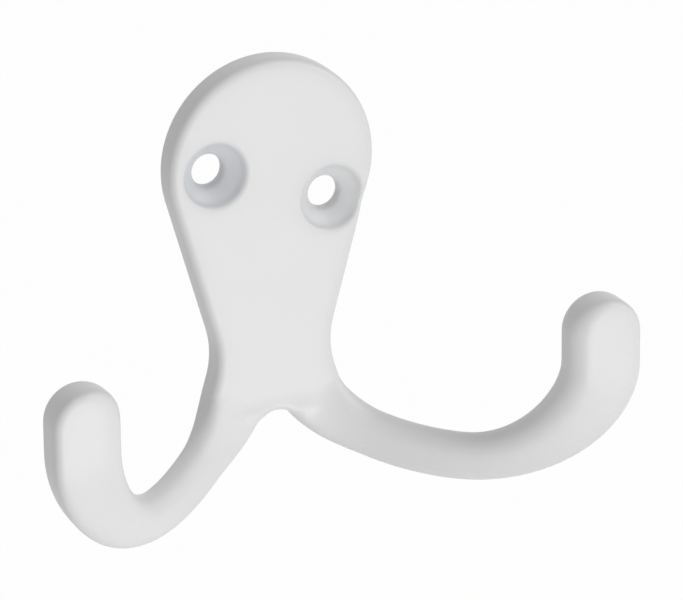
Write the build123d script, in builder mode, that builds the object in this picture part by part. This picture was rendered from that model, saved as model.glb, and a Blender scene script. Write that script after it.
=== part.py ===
from build123d import *

import os
from math import acos, atan2, cos, degrees, hypot, radians, sin

# Double clothes hook: one casting, a screw plate with a round head and two arms that bow out and forward.
# Millimetres and degrees. X is to the right, Z is up, the wall is the plane Y = 0 and the front faces -Y.
# The origin is on the wall, midway between the two screw holes.

# Plate
plate_thickness = 4.3
head_radius = 13.9
head_rise = 2.8
neck_width = 15.7
neck_drop = 21.9
throat_radius = 11.2
leg_turn = 17.2
leg_length = 1.1
leg_width = 7.9
front_edge_radius = 1.0

# Web between the arms, arched below and set back a little from the front and the wall
arch_drop = 29.4
arch_radius = 3.2
web_setback = 0.5
web_reach = 0.15

# Screw holes: one on each side of the origin, the left one higher
hole_spacing = 15.8
hole_stagger = 5.3
hole_diameter = 4.2
countersink_diameter = 8.4
countersink_angle = 72.0

# Arm path: from the leg down a bow to the lowest point, then up a rise to the tip
arm_swing = 37.9
bow_reach = 20.6
bow_drop = 8.8
rise_reach = 17.5
rise_height = 14.6
tip_length = 4.0
leg_pull = 6.0
bow_pull = 8.1
rise_pull = 9.5
tip_pull = 6.4

# Arm sections: from the leg's to the arm's over part of the bow, then to the tip's over the rise
taper_share = 0.5
arm_width = 6.0
arm_depth = 3.6
arm_throat_round = 2.4
arm_outer_round = 1.6
tip_width = 9.3
tip_depth = 5.7
tip_round = 1.8
sections_per_run = 6
least_flat = 0.1

# The flank is the straight line that touches both the head and the hollow of the throat
head_centre = (0, head_rise)
throat_centre = (neck_width / 2 + throat_radius, -neck_drop)
centre_drop = throat_centre[1] - head_centre[1]
centre_line = degrees(atan2(centre_drop, throat_centre[0]))
centre_gap = hypot(throat_centre[0], centre_drop)
flank_normal = centre_line + degrees(acos((head_radius + throat_radius) / centre_gap))

# The leg leaves the throat along its own slope and is cut square across, and the crotch touches both legs
leg_along = Vector(sin(radians(leg_turn)), -cos(radians(leg_turn)))
leg_across = Vector(cos(radians(leg_turn)), sin(radians(leg_turn)))
leg_inner_corner = Vector(*throat_centre) - leg_across * throat_radius + leg_along * leg_length
leg_outer_corner = leg_inner_corner - leg_across * leg_width
leg_middle = (leg_inner_corner + leg_outer_corner) / 2
crotch_radius = leg_outer_corner.X / leg_across.X
crotch_centre = (0, leg_outer_corner.Y - crotch_radius * leg_across.Y)

# Arm path points and directions
forward = Vector(0, -1, 0)
up = Vector(0, 0, 1)
leg_direction = Vector(leg_along.X, 0, leg_along.Y)
swing_direction = Vector(cos(radians(arm_swing)), -sin(radians(arm_swing)), 0)
arm_start = Vector(leg_middle.X, -plate_thickness / 2, leg_middle.Y)
low_point = arm_start + swing_direction * bow_reach - up * bow_drop
tip_base = low_point + swing_direction * rise_reach + up * rise_height
tip_centre = tip_base + up * tip_length

with BuildLine():
    bow = Bezier(
        arm_start,
        arm_start + leg_direction * leg_pull,
        low_point - swing_direction * bow_pull,
        low_point,
    )
    rise = Bezier(
        low_point,
        low_point + swing_direction * rise_pull,
        tip_base - up * tip_pull,
        tip_base,
    )
    tip_line = Line(tip_base, tip_centre)


def ease(stage, at_leg, at_low_point, at_tip):
    """Value along the arm, in smooth steps: stage 0 is the leg, 1 the lowest point and 2 the tip."""
    taper = min(stage / taper_share, 1)
    flare = max(stage - 1, 0)
    taper_step = taper * taper * (3 - 2 * taper)
    flare_step = flare * flare * (3 - 2 * flare)
    return at_leg + (at_low_point - at_leg) * taper_step + (at_tip - at_low_point) * flare_step


def across(curve, place):
    """Plane across the arm, with its x to the throat side and its y to the front."""
    along = curve % place
    front = (forward - along * along.dot(forward)).normalized()
    return Plane(origin=curve @ place, x_dir=front.cross(along), z_dir=along)


def front_round(radius, width, depth):
    """Radius of a front corner that leaves some flat on the front and on the side."""
    return min(radius, (0.5 - least_flat) * width, (1 - least_flat) * depth)


# Every station is the plane across the arm there and its stage along the arm
steps = [step / sections_per_run for step in range(sections_per_run)]
stations = [(across(bow, step), step) for step in steps]
stations += [(across(rise, step), 1 + step) for step in steps]
stations += [(across(tip_line, place), 2) for place in (0, 0.5, 1)]

with BuildPart() as arm:
    for plane, stage in stations:
        width = ease(stage, leg_width, arm_width, tip_width)
        depth = ease(stage, plate_thickness, arm_depth, tip_depth)
        throat_round = ease(stage, front_edge_radius, arm_throat_round, tip_round)
        outer_round = ease(stage, front_edge_radius, arm_outer_round, tip_round)
        with BuildSketch(plane):
            with BuildLine():
                FilletPolyline(
                    (width / 2, depth / 2),
                    (-width / 2, depth / 2),
                    (-width / 2, -depth / 2),
                    (width / 2, -depth / 2),
                    radius=[
                        front_round(throat_round, width, depth),
                        front_round(outer_round, width, depth),
                        0,
                        0,
                    ],
                    close=True,
                )
            make_face()
    loft()

    # The end is half of the last section turned over the top
    with BuildSketch(across(tip_line, 1)):
        with BuildLine():
            FilletPolyline(
                (0, tip_depth / 2),
                (tip_width / 2, tip_depth / 2),
                (tip_width / 2, -tip_depth / 2),
                (0, -tip_depth / 2),
                radius=[0, front_round(tip_round, tip_width, tip_depth), 0, 0],
                close=True,
            )
        make_face()
    revolve(axis=Axis(tip_centre, -forward), revolution_arc=180)

with BuildPart() as plate:
    with BuildSketch(Plane.XZ):
        with BuildLine() as outline:
            head = CenterArc(head_centre, head_radius, 90, flank_normal - 90)
            throat = CenterArc(throat_centre, throat_radius, flank_normal + 180, leg_turn - flank_normal)
            Line(head @ 1, throat @ 0)
            crotch = CenterArc(crotch_centre, crotch_radius, leg_turn, 90 - leg_turn)
            Polyline(throat @ 1, leg_inner_corner, crotch @ 0)
            mirror(outline.line, about=Plane.YZ)
        make_face()
    extrude(amount=plate_thickness)

    # The front edge is rounded, but not across the ends of the legs, where the arms carry on
    front_edges = plate.faces().sort_by(Axis.Y)[0].edges()
    right_end = front_edges.sort_by_distance((leg_middle.X, -plate_thickness, leg_middle.Y))[0]
    left_end = front_edges.sort_by_distance((-leg_middle.X, -plate_thickness, leg_middle.Y))[0]
    fillet(front_edges - [right_end, left_end], front_edge_radius)

# The web runs from inside the neck to the middle line of each arm
web_foot = bow @ web_reach

with BuildPart() as web:
    with BuildSketch(Plane.XZ.offset(web_setback)):
        with BuildLine() as web_outline:
            Polyline((0, -neck_drop), (leg_middle.X, leg_middle.Y), (web_foot.X, web_foot.Z), (0, web_foot.Z))
            mirror(web_outline.line, about=Plane.YZ)
        make_face()
        with Locations((0, -arch_drop - arch_radius)):
            Circle(arch_radius, mode=Mode.SUBTRACT)
    extrude(amount=plate_thickness - 2 * web_setback)

# The arms meet the ends of the legs face to face, and faces this close are joined
join_tolerance = 0.0001

with BuildPart() as hook:
    add(plate.part.fuse(arm.part, arm.part.mirror(Plane.YZ), web.part, tol=join_tolerance))
    with Locations(Plane.XZ.offset(plate_thickness)):
        with Locations((-hole_spacing / 2, hole_stagger / 2), (hole_spacing / 2, -hole_stagger / 2)):
            CounterSinkHole(hole_diameter / 2, countersink_diameter / 2, counter_sink_angle=countersink_angle)

hook.part.label = "hook"
os.makedirs("parts", exist_ok=True)
export_step(hook.part, "parts/hook.step")
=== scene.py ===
# %% [markdown]
# Double clothes hook: one small casting in white paint, screwed flat to a wall. The solid model comes in
# first, as a fixed frame in metres: X to the right, Z up, and the wall is the plane Y = 0. Everything
# below is dressed around it, so nothing has to be moved or scaled to fit.

# %% Load the solid model
import math

import bpy
import numpy as np
import openvdb
from mathutils import Matrix, Vector


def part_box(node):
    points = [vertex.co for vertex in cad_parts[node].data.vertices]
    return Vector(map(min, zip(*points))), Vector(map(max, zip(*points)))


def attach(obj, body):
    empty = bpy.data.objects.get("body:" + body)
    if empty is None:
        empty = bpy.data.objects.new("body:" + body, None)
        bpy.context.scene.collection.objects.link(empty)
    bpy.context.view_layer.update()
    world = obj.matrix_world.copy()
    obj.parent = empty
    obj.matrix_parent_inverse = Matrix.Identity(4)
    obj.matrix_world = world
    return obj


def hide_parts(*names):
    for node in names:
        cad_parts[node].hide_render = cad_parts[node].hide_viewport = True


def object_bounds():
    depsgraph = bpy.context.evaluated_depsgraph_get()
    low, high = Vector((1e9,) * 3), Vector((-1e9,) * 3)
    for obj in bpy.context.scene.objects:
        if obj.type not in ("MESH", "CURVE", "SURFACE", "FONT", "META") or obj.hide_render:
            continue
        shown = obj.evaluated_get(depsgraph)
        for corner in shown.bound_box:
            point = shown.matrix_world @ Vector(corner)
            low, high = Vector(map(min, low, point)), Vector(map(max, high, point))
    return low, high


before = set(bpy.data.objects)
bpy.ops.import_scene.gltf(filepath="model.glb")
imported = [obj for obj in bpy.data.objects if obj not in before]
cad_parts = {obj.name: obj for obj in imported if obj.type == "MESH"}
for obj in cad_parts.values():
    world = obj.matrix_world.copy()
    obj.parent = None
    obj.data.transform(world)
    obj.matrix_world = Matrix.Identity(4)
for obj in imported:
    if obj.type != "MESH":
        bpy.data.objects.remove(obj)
solid_box = [list(corner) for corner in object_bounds()]
MM = 0.001
print("solid model, mm:", np.round(np.array(solid_box) / MM, 1).tolist())

# %% [markdown]
# The casting is one skin: the plate, the arms and the screw holes run into each other with soft hollows
# and edges. Three meshes could be joined with a Boolean and then bevelled, but a bevel breaks where many
# small faces meet. So the shape is written as a distance field: each point of a fine grid holds its
# distance to the surface in millimetres, negative inside. Two fields join by their smaller value, and a
# cut keeps the larger. Both halves are alike but for the screw holes, so the body is worked out for the
# right half and mirrored.

# %% The grid
CELL = 0.28
MARGIN = 1.6

low_corner, high_corner = (np.array(corner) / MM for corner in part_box("hook"))
half_count = int(np.ceil((high_corner[0] + MARGIN) / CELL))
grid_x = (np.arange(half_count) + 0.5) * CELL
grid_y = np.arange(low_corner[1] - MARGIN, high_corner[1] + MARGIN, CELL)
grid_z = np.arange(low_corner[2] - MARGIN, high_corner[2] + MARGIN, CELL)
print("grid points in the right half:", len(grid_x), "x", len(grid_y), "x", len(grid_z))

# %% [markdown]
# The plate is a flat outline with thickness: a round head, straight flanks, and a hollow throat on each
# side. Below the throats it splits into two short legs, with a round crotch between them. The outline
# needs only arcs and straight lines, so it is a short run of points from the top to the crotch.

# %% Plate outline
HEAD_RADIUS = 13.9
HEAD_RISE = 2.8
NECK_WIDTH = 15.7
NECK_DROP = 21.9
THROAT_RADIUS = 11.2
LEG_TURN = math.radians(17.2)
LEG_LENGTH = 1.1
LEG_WIDTH = 7.9
HEAD_POINTS = 60
THROAT_POINTS = 30
CROTCH_POINTS = 16


def arc(centre, radius, start, end, count):
    """Points on a circle: the centre plus the radius times the cosine and sine of even angles."""
    angle = np.linspace(start, end, count)[:, None]
    return np.array(centre) + radius * np.hstack([np.cos(angle), np.sin(angle)])


head_centre = np.array([0.0, HEAD_RISE])
throat_centre = np.array([NECK_WIDTH / 2 + THROAT_RADIUS, -NECK_DROP])
between = throat_centre - head_centre
flank_angle = math.atan2(between[1], between[0])
flank_angle += math.acos((HEAD_RADIUS + THROAT_RADIUS) / np.hypot(*between))
leg_along = np.array([math.sin(LEG_TURN), -math.cos(LEG_TURN)])
leg_across = np.array([math.cos(LEG_TURN), math.sin(LEG_TURN)])
leg_inner = throat_centre - leg_across * THROAT_RADIUS + leg_along * LEG_LENGTH
leg_outer = leg_inner - leg_across * LEG_WIDTH
leg_middle = (leg_inner + leg_outer) / 2
crotch_radius = leg_outer[0] / leg_across[0]
crotch_centre = np.array([0.0, leg_outer[1] - crotch_radius * leg_across[1]])

outline = np.vstack([
    arc(head_centre, HEAD_RADIUS, math.pi / 2, flank_angle, HEAD_POINTS),
    arc(throat_centre, THROAT_RADIUS, flank_angle + math.pi, LEG_TURN + math.pi, THROAT_POINTS),
    leg_inner,
    arc(crotch_centre, crotch_radius, LEG_TURN, math.pi / 2, CROTCH_POINTS),
])
print("outline points:", len(outline), "crotch top, mm:", round(crotch_centre[1] + crotch_radius, 2))

# %% [markdown]
# The plate's thickness and its rounded edges come next. Its front edge is softly rounded all the way
# round, and the edge against the wall a little less. An extruded outline with a Bevel modifier would give
# the same plate. In a field the rounding is a formula on two distances, to the outline and to the nearer
# flat face, and the web and the arms can use that formula again.

# %% Plate field
THICKNESS = 4.3
FRONT_ROUND = 1.0
BACK_ROUND = 0.6


def outline_distance(x, z, points):
    """Signed distance to the outline: the nearest of its straight pieces, negative where a line to the
    right crosses the outline an odd number of times. The middle line closes it and has no edge."""
    px, pz = x[:, None, None], z[None, :, None]
    ax, az = points[:-1].T
    bx, bz = points[1:].T
    run_x, run_z = bx - ax, bz - az
    share = ((px - ax) * run_x + (pz - az) * run_z) / (run_x**2 + run_z**2)
    share = np.clip(share, 0, 1)
    nearest = np.hypot(px - ax - share * run_x, pz - az - share * run_z).min(axis=2)
    crossing = (az > pz) != (bz > pz)
    reach = ax + (pz - az) * run_x / np.where(run_z == 0, 1, run_z)
    inside = (crossing & (px < reach)).sum(axis=2) % 2 == 1
    return np.where(inside, -nearest, nearest)


def rounded_corner(first, second, radius):
    """Two distances joined at a rounded corner: the length of their parts past the centre of the
    rounding, less the radius."""
    first, second = first + radius, second + radius
    within = np.minimum(np.maximum(first, second), 0)
    return within + np.hypot(np.maximum(first, 0), np.maximum(second, 0)) - radius


flat = outline_distance(grid_x, grid_z, outline)
depth = np.abs(grid_y + THICKNESS / 2) - THICKNESS / 2
edge_round = np.where(grid_y < -THICKNESS / 2, FRONT_ROUND, BACK_ROUND)
plate_field = rounded_corner(flat[:, None, :], depth[None, :, None], edge_round[None, :, None])
print("plate cells inside:", int((plate_field < 0).sum()))

# %% [markdown]
# Each arm carries on from its leg: down a bow, forward and out to its lowest point, then up a rise to a
# round tip. In Blender it could be a bevelled curve, but a bevel keeps one section, and this arm thins
# and then flares. So only the path is drawn here, as two cubic curves and a straight tip. It is cut into
# stations, and each station has three directions: along the path, to the front, and to the throat side.

# %% Arm path
ARM_SWING = math.radians(37.9)
BOW_REACH = 20.6
BOW_DROP = 8.8
RISE_REACH = 17.5
RISE_HEIGHT = 14.6
TIP_LENGTH = 4.0
LEG_PULL = 6.0
BOW_PULL = 8.1
RISE_PULL = 9.5
TIP_PULL = 6.4
ROOT_LENGTH = 6.0
CURVE_STATIONS = 64
STRAIGHT_STATIONS = 16
FINE_STEPS = 400
FORWARD = np.array([0.0, -1.0, 0.0])
UP = np.array([0.0, 0.0, 1.0])

leg_down = np.array([leg_along[0], 0.0, leg_along[1]])
swing = np.array([math.cos(ARM_SWING), -math.sin(ARM_SWING), 0.0])
arm_start = np.array([leg_middle[0], -THICKNESS / 2, leg_middle[1]])
low_point = arm_start + swing * BOW_REACH - UP * BOW_DROP
tip_base = low_point + swing * RISE_REACH + UP * RISE_HEIGHT
tip_centre = tip_base + UP * TIP_LENGTH


def even_curve(first, pull_first, pull_last, last):
    """Points on a cubic curve at even lengths: the four points weighted by the cubic Bernstein shares."""
    t = np.linspace(0, 1, FINE_STEPS)[:, None]
    fine = (1 - t)**3 * first + 3 * t * (1 - t)**2 * pull_first
    fine = fine + 3 * t**2 * (1 - t) * pull_last + t**3 * last
    length = np.r_[0, np.cumsum(np.linalg.norm(np.diff(fine, axis=0), axis=1))]
    wanted = np.linspace(0, length[-1], CURVE_STATIONS)
    return np.stack([np.interp(wanted, length, column) for column in fine.T], axis=1)


root = np.linspace(arm_start - leg_down * ROOT_LENGTH, arm_start, STRAIGHT_STATIONS, endpoint=False)
bow = even_curve(arm_start, arm_start + leg_down * LEG_PULL, low_point - swing * BOW_PULL, low_point)
rise = even_curve(low_point, low_point + swing * RISE_PULL, tip_base - UP * TIP_PULL, tip_base)
tip = np.linspace(tip_base, tip_centre, STRAIGHT_STATIONS)
path = np.vstack([root, bow, rise[1:], tip[1:]])
path_length = np.r_[0, np.cumsum(np.linalg.norm(np.diff(path, axis=0), axis=1))]

along = np.gradient(path, path_length, axis=0)
along /= np.linalg.norm(along, axis=1)[:, None]
front = FORWARD - along * (along @ FORWARD)[:, None]
front /= np.linalg.norm(front, axis=1)[:, None]
side = np.cross(front, along)
print("arm path:", len(path), "stations,", round(path_length[-1], 1), "mm")

# %% [markdown]
# Across its path the arm is a flat bar: deep and wide at the leg, slim along the bow, and full again at
# the tip. Its corners on the throat side, where the cloth hangs, are the softest, and those on the outer
# side are crisper. Every size eases from the leg over the bow to the tip in smooth steps, so no ring
# shows where one stretch ends.

# %% Arm sections
TAPER_SHARE = 0.5
ARM_WIDTH = 6.0
ARM_DEPTH = 3.6
TIP_WIDTH = 9.3
TIP_DEPTH = 5.7
THROAT_ROUNDS = (FRONT_ROUND, 2.5, 2.8)
OUTER_ROUNDS = (FRONT_ROUND, 1.5, 1.0)
BACK_ROUNDS = (BACK_ROUND, 1.0, 1.6)

on_curve = np.linspace(0, 1, CURVE_STATIONS)
on_tip = np.full(STRAIGHT_STATIONS - 1, 2.0)
stage = np.r_[np.zeros(STRAIGHT_STATIONS), on_curve, 1 + on_curve[1:], on_tip]


def ease(at_leg, at_low_point, at_tip):
    """A size along the arm in two smooth steps: three squares less two cubes of the way between stages."""
    taper = np.minimum(stage / TAPER_SHARE, 1)
    flare = np.maximum(stage - 1, 0)
    taper, flare = (way * way * (3 - 2 * way) for way in (taper, flare))
    return at_leg + (at_low_point - at_leg) * taper + (at_tip - at_low_point) * flare


half_widths = ease(LEG_WIDTH, ARM_WIDTH, TIP_WIDTH) / 2
half_depths = ease(THICKNESS, ARM_DEPTH, TIP_DEPTH) / 2
throat_rounds = ease(*THROAT_ROUNDS)
outer_rounds = ease(*OUTER_ROUNDS)
back_rounds = ease(*BACK_ROUNDS)
print("arm from", 2 * half_widths.min(), "to", 2 * half_widths.max(), "mm wide")

# %% [markdown]
# The arm's field carries that section along the path. A Curve object with a taper could scale one
# section, but it can't change the corners by themselves. Here each grid point looks for its nearest
# station and takes its distance to the section there. Past the last station the section turns round its
# own axis and closes the tip.

# %% Arm field
NEAR = 9.0
BATCHES = 60


def at_place(place, values):
    """A value at a place along the path: a straight mix of the stations before and after it."""
    return np.interp(place, path_length, values)


def toward(offset, place, directions):
    """How far an offset reaches along a direction of the path: their dot product at that place."""
    here = np.stack([at_place(place, column) for column in directions.T], axis=1)
    return (offset * here).sum(axis=1)


def arm_distance(points):
    """Distance to the arm: each point finds its nearest station, moves along the path to be square to it,
    and takes the distance to the rounded section there. Past the last station the section is turned round
    its axis, and its front corner goes from the outer side's radius to the throat side's."""
    gap = (path**2).sum(axis=1) - 2 * points @ path.T
    nearest = gap.argmin(axis=1)
    ahead = ((points - path[nearest]) * along[nearest]).sum(axis=1)
    place = path_length[nearest] + ahead
    offset = points - np.stack([at_place(place, column) for column in path.T], axis=1)
    toward_front = toward(offset, place, front)
    toward_throat = toward(offset, place, side)
    past_tip = np.maximum(place - path_length[-1], 0)
    from_middle = np.hypot(toward_throat, past_tip)
    throat_share = np.clip(toward_throat / np.maximum(from_middle, CELL), 0, 1)
    outer_round = at_place(place, outer_rounds)
    front_round = outer_round + (at_place(place, throat_rounds) - outer_round) * throat_share
    half_depth = at_place(place, half_depths)
    across = from_middle - at_place(place, half_widths)
    front_corner = rounded_corner(across, toward_front - half_depth, front_round)
    back_corner = rounded_corner(across, -toward_front - half_depth, at_place(place, back_rounds))
    return np.maximum(front_corner, back_corner)


arm_field = np.full(plate_field.shape, NEAR)
reach_low, reach_high = path.min(axis=0) - NEAR, path.max(axis=0) + NEAR
spans = [
    np.flatnonzero((axis > low) & (axis < high))
    for axis, low, high in zip((grid_x, grid_y, grid_z), reach_low, reach_high)
]
near_axes = (grid_x[spans[0]], grid_y[spans[1]], grid_z[spans[2]])
near_arm = np.stack(np.meshgrid(*near_axes, indexing="ij"), axis=-1)
distances = [arm_distance(batch) for batch in np.array_split(near_arm.reshape(-1, 3), BATCHES)]
arm_field[np.ix_(*spans)] = np.concatenate(distances).reshape(near_arm.shape[:3])
print("arm cells inside:", int((arm_field < 0).sum()))

# %% [markdown]
# A web fills the crotch between the arms, down to a small round arch. It has the plate's thickness again,
# with four points on each side, less the arch's circle. Below the legs it leans forward as far as the
# arms' own paths do, so that it stays between them.

# %% Web field
ARCH_DROP = 30.1
ARCH_RADIUS = 3.6
WEB_REACH = 0.17

web_foot = bow[round(WEB_REACH * (CURVE_STATIONS - 1))][[0, 2]]
web_outline = np.array([(0.0, -NECK_DROP), leg_middle, web_foot, (0.0, web_foot[1])])
arch = ARCH_RADIUS - np.hypot(grid_x[:, None], grid_z[None, :] + ARCH_DROP + ARCH_RADIUS)
web_flat = np.maximum(outline_distance(grid_x, grid_z, web_outline), arch)
lean = np.interp(grid_z, bow[::-1, 2], bow[0, 1] - bow[::-1, 1], left=0)
web_middle = -THICKNESS / 2 - lean
web_depth = np.abs(grid_y[:, None] - web_middle[None, :]) - THICKNESS / 2
web_round = np.where(grid_y[:, None] < web_middle[None, :], FRONT_ROUND, BACK_ROUND)
web_field = rounded_corner(web_flat[:, None, :], web_depth[None], web_round[None])
print("web cells inside:", int((web_field < 0).sum()))

# %% [markdown]
# The plate, the web and the arm become one body, and its mirror image makes the left half. The two screw
# holes go right through the head, each with a sink at the front for a countersunk screw head: a short
# steep rim and a flatter seat below it. The left one sits higher, so they are cut after the mirroring. A
# Boolean would leave thin slivers at the rims. Here a cut keeps the larger of the body's field and the
# hole's field turned inside out.

# %% Join and drill
HOLE_SPACING = 15.8
HOLE_STAGGER = 5.3
HOLE_DIAMETER = 4.2
SINK_DIAMETER = 8.4
SINK_DEPTH = 2.6
RIM_SLOPE = math.radians(8.0)
SEAT_SLOPE = math.radians(48.0)
LEFT, RIGHT = -1, 1

half_field = np.minimum(np.minimum(plate_field, web_field), arm_field)
body_field = np.concatenate([half_field[::-1], half_field])
grid_x = np.concatenate([-grid_x[::-1], grid_x])


def from_hole(x, z, hand):
    """Distance from the middle line of the left or the right hole."""
    return np.hypot(x - hand * HOLE_SPACING / 2, z + hand * HOLE_STAGGER / 2)


def hole_distance(hand):
    """Distance to a countersunk hole: the nearer of a straight bore and a sink, which is what lies inside
    both a steep cone at the rim and a flatter cone where the screw head seats."""
    radial = from_hole(grid_x[:, None, None], grid_z[None, None, :], hand)
    into_plate = (grid_y + THICKNESS)[None, :, None]
    rim_radius = SINK_DIAMETER / 2 - into_plate * math.tan(RIM_SLOPE)
    seat_radius = HOLE_DIAMETER / 2 + (SINK_DEPTH - into_plate) * math.tan(SEAT_SLOPE)
    rim = (radial - rim_radius) * math.cos(RIM_SLOPE)
    seat = (radial - seat_radius) * math.cos(SEAT_SLOPE)
    return np.minimum(radial - HOLE_DIAMETER / 2, np.maximum(rim, seat))


for hand in (LEFT, RIGHT):
    body_field = np.maximum(body_field, -hole_distance(hand))
print("body cells inside:", int((body_field < 0).sum()))

# %% [markdown]
# A coat of paint rounds every edge of a raw casting a little, and fills its corners. A Smooth modifier
# would do that to a mesh, but it shrinks thin places. A slight blur of the field does it evenly, all over
# at once. Far values are cut off first, because only the field near the surface counts.

# %% Soften
SOFTNESS = 0.36
FAR = 3.0
BLUR_REACH = 3


def soften(values, spread):
    """Blurs a field: along each axis in turn, the mean of the neighbours weighted by a bell curve of this
    spread, as far out as a few spreads."""
    reach = int(np.ceil(BLUR_REACH * spread / CELL))
    offsets = np.arange(-reach, reach + 1)
    weights = np.exp(-0.5 * (offsets * CELL / spread) ** 2)
    weights /= weights.sum()
    for axis in range(3):
        count = values.shape[axis]
        padding = [(reach, reach) if each == axis else (0, 0) for each in range(3)]
        padded = np.pad(values, padding, mode="edge")
        values = sum(
            weight * np.take(padded, np.arange(start, start + count), axis=axis)
            for start, weight in enumerate(weights)
        )
    return values


field = soften(np.clip(body_field, -FAR, FAR).astype(np.float32), SOFTNESS)
print("softened field:", field.shape)

# %% [markdown]
# The skin is the surface where the field is zero, and the grid library turns it into four-sided faces. In
# each settling step, a point first moves to the middle of its neighbours, which evens out the faces, and
# then slides along the field's slope onto the zero surface. No steps of the grid show after that.

# %% Skin of the casting
SETTLE_STEPS = 3

grid_start = np.array([grid_x[0], grid_y[0], grid_z[0]])
volume = openvdb.FloatGrid()
volume.copyFromArray(field.astype(np.float32))
points, quads = volume.convertToQuads(isovalue=0.0)
points = points.astype(float)


def sample(values, places):
    """A field's value between grid points: the cell's eight corners, weighted by how near each one is."""
    base = np.clip(np.floor(places).astype(int), 0, np.array(values.shape[:3]) - 2)
    part = places - base
    total = 0
    for corner in np.ndindex(2, 2, 2):
        weight = np.prod(np.where(corner, part, 1 - part), axis=1)
        total = total + weight * values[tuple((base + corner).T)]
    return total


def neighbour_middle(places, faces):
    """The mean of the points that share a side with each point: sums over all sides by their number."""
    turned = faces[:, ::-1]
    ends = np.concatenate([faces, turned]).ravel()
    others = np.concatenate([np.roll(faces, -1, axis=1), np.roll(turned, -1, axis=1)]).ravel()
    sums = [np.bincount(ends, weights=column[others], minlength=len(places)) for column in places.T]
    return np.stack(sums, axis=1) / np.bincount(ends, minlength=len(places))[:, None]


slopes = np.gradient(field)
for _ in range(SETTLE_STEPS):
    points = neighbour_middle(points, quads)
    slope = np.stack([sample(component, points) for component in slopes], axis=1)
    points -= slope * (sample(field, points) / (slope**2).sum(axis=1))[:, None]
print("skin:", len(points), "points,", len(quads), "faces")

# %% [markdown]
# Sprayed paint isn't equally thick everywhere, and it draws back from outer edges. The countersinks get
# painted shade: a greyer colour within each rim, strongest in the left one, which looks the darkest. Both
# could be painted by hand as vertex colours. Here they are worked out: an edge stands out where the field
# differs from a wider blur of itself, and a sink is all that lies within its rim.

# %% Thin paint on the edges, painted shade in the sinks
EDGE_SPREAD = 1.1
EDGE_FULL = 0.35
# Painted shade in the countersinks: how strong it is in the left and the right one.
SINK_SHADE_STRENGTH = {LEFT: 1.0, RIGHT: 0.45}
SINK_FADE = 0.5


def sink_shade_share(places):
    """How much painted shade a countersink gets: the left or right sink's share, which fades out over a
    short way at the rim and in front of the plate's back."""
    total = 0
    for hand, shade_strength in SINK_SHADE_STRENGTH.items():
        radial = from_hole(places[:, 0], places[:, 2], hand)
        within_rim = (SINK_DIAMETER / 2 + SINK_FADE / 2 - radial) / SINK_FADE
        before_back = (-places[:, 1] - SINK_FADE) / SINK_FADE
        total = total + shade_strength * np.minimum(within_rim, before_back).clip(0, 1)
    return total


edge = (sample(soften(field, EDGE_SPREAD) - field, points) / EDGE_FULL).clip(-1, 1)
points = points * CELL + grid_start
# Painted shade in the countersinks, as a share at each point.
sink = sink_shade_share(points)
print("edge from", edge.min().round(2), "to", edge.max().round(2), "sink points:", int((sink > 0).sum()))

# %% [markdown]
# The arrays now become the hook's mesh, in metres, with the faces turned outwards and shaded smooth.
# Adding points one by one is slow in Python, so foreach_set takes whole arrays. The thin paint on the
# edges and the painted shade in the sinks are stored as attributes of the points, for the material. The
# piece rides on the part's one body and stands for its solid.

# %% Hook piece
points *= MM
corners = points[quads]
faces_out = np.einsum("ij,ij->i", corners[:, 0], np.cross(corners[:, 1], corners[:, 2])).sum() > 0
quads = quads if faces_out else quads[:, ::-1]

mesh = bpy.data.meshes.new("hook_skin")
mesh.vertices.add(len(points))
mesh.vertices.foreach_set("co", points.astype(np.float32).ravel())
mesh.loops.add(quads.size)
mesh.loops.foreach_set("vertex_index", quads.astype(np.int32).ravel())
mesh.polygons.add(len(quads))
mesh.polygons.foreach_set("loop_start", np.arange(0, quads.size, quads.shape[1], dtype=np.int32))
mesh.polygons.foreach_set("use_smooth", np.ones(len(quads), dtype=bool))
# The edge attribute is thin paint; the sink attribute is painted shade.
for name, values in (("edge", edge), ("sink", sink)):
    mesh.attributes.new(name, "FLOAT", "POINT").data.foreach_set("value", values.astype(np.float32))
mesh.update(calc_edges=True)
mesh.validate()

hook = bpy.data.objects.new("hook_skin", mesh)
bpy.context.scene.collection.objects.link(hook)
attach(hook, "root")
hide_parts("hook")
print("hook piece:", len(mesh.polygons), "faces, order turned round:", not faces_out)

# %% [markdown]
# Shader nodes are wired by hand in Blender's editor, and a long chain of Math nodes is hard to read
# there. Here one small class wraps an output socket, so a sum of two sockets is written as a sum and adds
# its own Math node. Colours can't go through a Math node, which would turn them grey, so they have a mix
# of their own. The node method adds any other node: the settings go in first, then the numbers or links
# of its sockets.


# %% Sockets as values
class Wire:
    """An output socket of a node tree that works in Python expressions."""

    MIX_FIRST, MIX_SECOND, MIX_COLOUR = 6, 7, 2

    def __init__(self, tree, socket=None):
        self.tree = tree
        self.socket = socket

    def node(self, kind, settings=None, sockets=None, output=0):
        """Adds a node of this kind, sets its settings, fills its sockets and returns one output."""
        made = self.tree.nodes.new(kind)
        for name, value in (settings or {}).items():
            setattr(made, name, value)
        for key, value in (sockets or {}).items():
            if isinstance(value, Wire):
                self.tree.links.new(value.socket, made.inputs[key])
            else:
                made.inputs[key].default_value = value
        return Wire(self.tree, made.outputs[output] if made.outputs else None)

    def maths(self, operation, first, second):
        """One Math node on two values, either of which may be a plain number."""
        return self.node("ShaderNodeMath", {"operation": operation}, {0: first, 1: second})

    def mix(self, share, first, second):
        """One Mix node on two colours: the first at a share of nought, the second at one."""
        sockets = {0: share, self.MIX_FIRST: first, self.MIX_SECOND: second}
        return self.node("ShaderNodeMix", {"data_type": "RGBA"}, sockets, self.MIX_COLOUR)

    def __add__(self, other):
        return self.maths("ADD", self, other)

    def __mul__(self, other):
        return self.maths("MULTIPLY", self, other)

    __radd__ = __add__
    __rmul__ = __mul__


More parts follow.
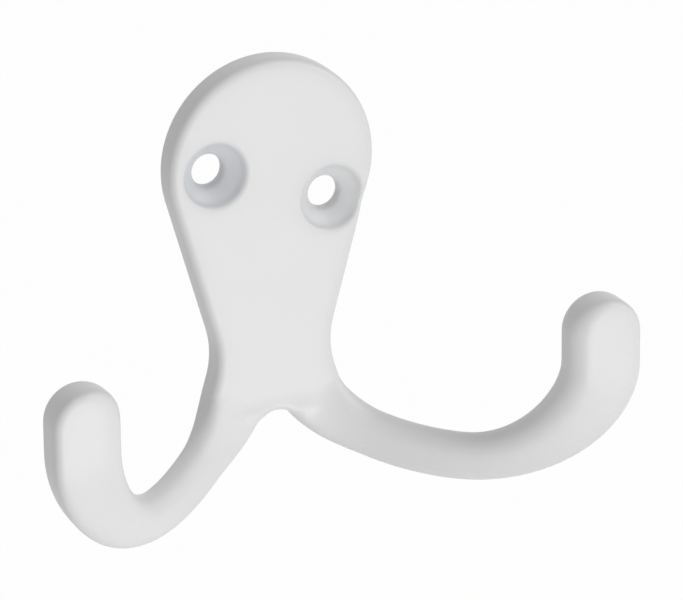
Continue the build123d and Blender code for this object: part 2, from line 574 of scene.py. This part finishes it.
def new_material(name):
    """An empty material and the wire that adds nodes to it."""
    material = bpy.data.materials.new(name)
    material.use_nodes = True
    material.node_tree.nodes.clear()
    return material, Wire(material.node_tree)


print("operators:", [name for name in vars(Wire) if name.endswith(("add__", "mul__"))])

# %% [markdown]
# The finish is a sprayed white paint with a soft satin gloss. One flat colour would look like plastic.
# Close up such paint dries with a faint ripple of about a millimetre and a finer tooth under it. Both are
# noise on Object coordinates, so they keep their real scale on the part, and they go into a Bump node. A
# slow drift changes the colour and the gloss a little from place to place. Where the paint is thin on the
# edges, the edge attribute makes it greyer and a little rougher. The sink attribute mixes in painted shade,
# a greyer and slightly bluer colour, inside the countersinks.

# %% White paint
PAINT_WHITE = (0.80, 0.80, 0.797, 1.0)
PAINT_THIN = (0.735, 0.735, 0.735, 1.0)
# Painted shade in the countersinks: a greyer, slightly bluer white.
SINK_PAINTED_SHADE = (0.67, 0.683, 0.705, 1.0)
RIPPLE_SIZE, RIPPLE_DETAIL = 1.5 * MM, 1.5
TOOTH_SIZE, TOOTH_DETAIL = 0.25 * MM, 1.0
DRIFT_SIZE, DRIFT_DETAIL = 8 * MM, 2.0
RIPPLE_HEIGHT = 0.014 * MM
TOOTH_SHARE = 0.2
EDGE_THINNING, DRIFT_THINNING = 0.45, 0.3
ROUGHNESS = 0.34
DRIFT_ROUGHNESS, TOOTH_ROUGHNESS, EDGE_ROUGHNESS = 0.12, 0.05, 0.05
COAT_WEIGHT, COAT_ROUGHNESS = 0.12, 0.25


def paint_noise(wire, place, size, detail):
    """Noise whose waves are about this size, in metres: its scale is one over the size."""
    return wire.node("ShaderNodeTexNoise", None, {"Vector": place, "Scale": 1 / size, "Detail": detail})


def white_paint():
    """Satin white paint: ripple and tooth as bump, a slow drift of colour and gloss, a thinner coat on
    edges, and painted shade in the sinks."""
    material, wire = new_material("white_paint_coat")
    place = wire.node("ShaderNodeTexCoord", output="Object")
    at_edge = wire.node("ShaderNodeAttribute", {"attribute_name": "edge"}, output="Fac")
    sink_shade = wire.node("ShaderNodeAttribute", {"attribute_name": "sink"}, output="Fac")
    ripple = paint_noise(wire, place, RIPPLE_SIZE, RIPPLE_DETAIL)
    tooth = paint_noise(wire, place, TOOTH_SIZE, TOOTH_DETAIL)
    drift = paint_noise(wire, place, DRIFT_SIZE, DRIFT_DETAIL)
    outer_edge = wire.maths("MAXIMUM", at_edge, 0.0)
    thinness = outer_edge * EDGE_THINNING + drift * DRIFT_THINNING
    # Painted shade mixed into the countersinks.
    colour = wire.mix(sink_shade, wire.mix(thinness, PAINT_WHITE, PAINT_THIN), SINK_PAINTED_SHADE)
    roughness = ROUGHNESS + drift * DRIFT_ROUGHNESS + tooth * TOOTH_ROUGHNESS + outer_edge * EDGE_ROUGHNESS
    height = ripple + tooth * TOOTH_SHARE
    bump = wire.node("ShaderNodeBump", None, {"Strength": 1.0, "Distance": RIPPLE_HEIGHT, "Height": height})
    shader = wire.node(
        "ShaderNodeBsdfPrincipled",
        None,
        {
            "Base Color": colour,
            "Roughness": roughness,
            "Normal": bump,
            "Coat Weight": COAT_WEIGHT,
            "Coat Roughness": COAT_ROUGHNESS,
        },
    )
    wire.node("ShaderNodeOutputMaterial", None, {"Surface": shader})
    return material


paint = white_paint()
hook.data.materials.append(paint)
print("paint nodes:", len(paint.node_tree.nodes))

# %% [markdown]
# The floor is plain and pale, and lies well below, because the hook hangs on a wall. A white picture
# ground could come from bright lamps, but they would wash out the paint as well. So the floor looks at
# the kind of ray instead: the camera and reflections see it mostly as pure white, and the small rest is
# the lit floor, with the shadow on it. All other rays meet the lit floor alone.

# %% Floor
FLOOR_DROP = 600 * MM
FLOOR_HALF = 3.0
FLOOR_COLOUR = (0.86, 0.86, 0.86, 1.0)
WHITE = (1.0, 1.0, 1.0, 1.0)
SHADOW_SHARE = 0.02
SEEN_BY = ("Is Camera Ray", "Is Glossy Ray", "Is Transmission Ray")


def seen_share(wire):
    """One for a ray of the camera, a reflection or a clear body, and nought for the rays that carry
    light: the sum of the three kinds, at most one."""
    camera_ray, mirror_ray, clear_ray = (wire.node("ShaderNodeLightPath", output=ray) for ray in SEEN_BY)
    return wire.maths("MINIMUM", camera_ray + mirror_ray + clear_ray, 1.0)


def floor_material():
    """Pale floor: white with a small share of the lit floor where it is seen, and else lit."""
    material, wire = new_material("pale_floor")
    share = seen_share(wire) * (1 - SHADOW_SHARE)
    lit = wire.node("ShaderNodeBsdfDiffuse", None, {"Color": FLOOR_COLOUR})
    white = wire.node("ShaderNodeEmission", None, {"Color": WHITE, "Strength": 1.0})
    shader = wire.node("ShaderNodeMixShader", None, {0: share, 1: lit, 2: white})
    wire.node("ShaderNodeOutputMaterial", None, {"Surface": shader})
    return material


floor_height = solid_box[0][2] - FLOOR_DROP
floor_square = np.array([(-1, -1), (1, -1), (1, 1), (-1, 1)]) * FLOOR_HALF
floor_points = [(x, y, floor_height) for x, y in floor_square.tolist()]
floor_mesh = bpy.data.meshes.new("floor")
floor_mesh.from_pydata(floor_points, [], [(0, 1, 2, 3)])
floor_mesh.materials.append(floor_material())
floor = bpy.data.objects.new("floor", floor_mesh)
bpy.context.scene.collection.objects.link(floor)
print("floor at", round(floor_height / MM, 1), "mm")

# %% [markdown]
# The world is the soft light of a pale room, from all sides at once. An image of a studio could light the
# hook too, but a plain grey is even and repeatable. It treats the rays as the floor does: white where it
# is seen, and a dim grey as a lamp.

# %% World
WORLD_LIGHT = 0.455

world = bpy.data.worlds.new("studio")
bpy.context.scene.world = world
world.use_nodes = True
world.node_tree.nodes.clear()
sky = Wire(world.node_tree)
sky_strength = WORLD_LIGHT + seen_share(sky) * (1 - WORLD_LIGHT)
sky_shader = sky.node("ShaderNodeBackground", None, {"Color": WHITE, "Strength": sky_strength})
sky.node("ShaderNodeOutputWorld", None, {"Surface": sky_shader})
print("world nodes:", len(world.node_tree.nodes))

# %% [markdown]
# Two large soft lamps light the hook. The first stands low in front, so the hollow upper sides of the
# arms and the upper left walls fall into a soft grey. The second stands high on the right and keeps the
# right-hand edges pale. Sun lamps would be simpler, but their hard shadows don't suit a small white
# casting.

# %% Lamps
LAMP_AIM = Vector((0.0, -10 * MM, -12 * MM))
LAMP_SIZE = 0.7
LAMPS = (
    ("low_front_lamp", Vector((0.0, -0.95, -0.44)), 5.6),
    ("high_right_lamp", Vector((0.75, -0.43, 0.60)), 3.1),
)


def soft_lamp(name, place, watts):
    """A square area lamp at a place, turned towards the hook."""
    data = bpy.data.lights.new(name, "AREA")
    data.size = LAMP_SIZE
    data.energy = watts
    lamp = bpy.data.objects.new(name, data)
    lamp.location = place
    lamp.rotation_euler = (LAMP_AIM - place).to_track_quat("-Z", "Y").to_euler()
    bpy.context.scene.collection.objects.link(lamp)


for name, place, watts in LAMPS:
    soft_lamp(name, place, watts)
    print(name, "stands", round((LAMP_AIM - place).length, 2), "m away")

# %% [markdown]
# The camera stands to the left and a little above, far away with a long lens, so lines hardly converge.
# It could be placed by eye in the viewport. Here its place comes from two angles and a distance, and its
# lens from how many pixels a millimetre of the hook takes up in the picture, so each can be changed by
# itself.

# %% Camera
IMAGE_WIDTH = 683
SENSOR_WIDTH = 36.0
PIXELS_PER_MM = 7.98
VIEW_LEFT = math.radians(23.64)
VIEW_ABOVE = math.radians(20.6)
VIEW_ROLL = math.radians(-0.7)
VIEW_DISTANCE = 746.0
PIVOT = Vector((0.0, -8.0, -12.0))
AIM_RIGHT = 6.7
AIM_UP = -1.78
NEAREST_SEEN, FARTHEST_SEEN = 0.05, 20.0

toward_camera = Vector((
    -math.sin(VIEW_LEFT) * math.cos(VIEW_ABOVE),
    -math.cos(VIEW_LEFT) * math.cos(VIEW_ABOVE),
    math.sin(VIEW_ABOVE),
))
picture_right = Vector((math.cos(VIEW_LEFT), -math.sin(VIEW_LEFT), 0.0))
picture_up = toward_camera.cross(picture_right)
aim = PIVOT + picture_right * AIM_RIGHT + picture_up * AIM_UP
camera_place = PIVOT + toward_camera * VIEW_DISTANCE

camera_data = bpy.data.cameras.new("camera")
camera_data.sensor_width = SENSOR_WIDTH
camera_data.lens = SENSOR_WIDTH * PIXELS_PER_MM * VIEW_DISTANCE / IMAGE_WIDTH
camera_data.clip_start = NEAREST_SEEN
camera_data.clip_end = FARTHEST_SEEN
camera = bpy.data.objects.new("camera", camera_data)
turn = (aim - camera_place).to_track_quat("-Z", "Y").to_matrix() @ Matrix.Rotation(VIEW_ROLL, 3, "Z")
camera.matrix_world = Matrix.Translation(camera_place * MM) @ turn.to_4x4()
bpy.context.scene.collection.objects.link(camera)
bpy.context.scene.camera = camera
bpy.context.scene.view_settings.view_transform = "Standard"
print("lens, mm:", round(camera_data.lens, 1))

# %% [markdown]
